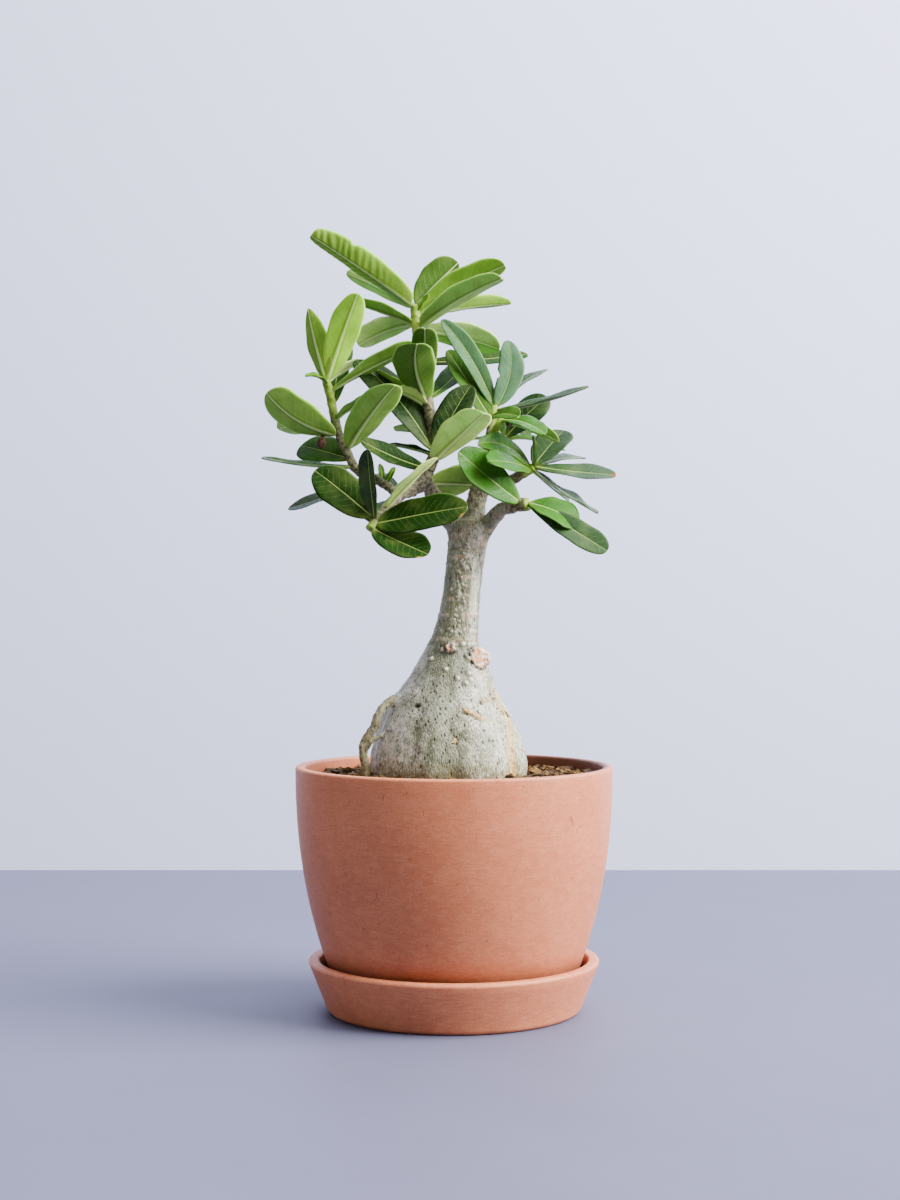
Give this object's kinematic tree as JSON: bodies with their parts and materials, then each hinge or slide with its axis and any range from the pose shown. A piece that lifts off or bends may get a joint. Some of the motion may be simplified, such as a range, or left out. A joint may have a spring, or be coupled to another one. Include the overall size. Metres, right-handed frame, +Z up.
{
  "type": "potted desert rose",
  "caption": "Desert rose with a swollen grey caudex, short branches and clusters of oval leaves, growing in a round clay-coloured pot on a flared saucer.",
  "frame": {"origin": "centre of the saucer's flat underside", "axes": "+Z up, X to the viewer's right, the viewer in front at -Y looking along +Y"},
  "size_m": [0.1666, 0.1502, 0.3655],
  "materials": {
    "saucer_clay": "matt, clay-coloured, faintly mottled",
    "pot_clay": "matt, clay-coloured, faintly mottled, with a soft sheen",
    "soil": "loose dark brown bark chips and crumbs",
    "skin": "grey-green to cream plant skin with rough brown bark on the branches",
    "leaf": "leathery green leaves, glossy above and paler below"
  },
  "bodies": {
    "root": {"saucer": "saucer_clay", "pot": "pot_clay", "plant_body": "skin", "soil": "soil", "tall_shoot": "leaf", "low_left_shoot": "leaf", "left_shoot": "leaf", "upper_right_shoot": "leaf", "middle_shoot": "leaf", "back_shoot": "leaf", "right_shoot": "leaf", "low_right_shoot": "leaf"}
  },
  "joints": []
}
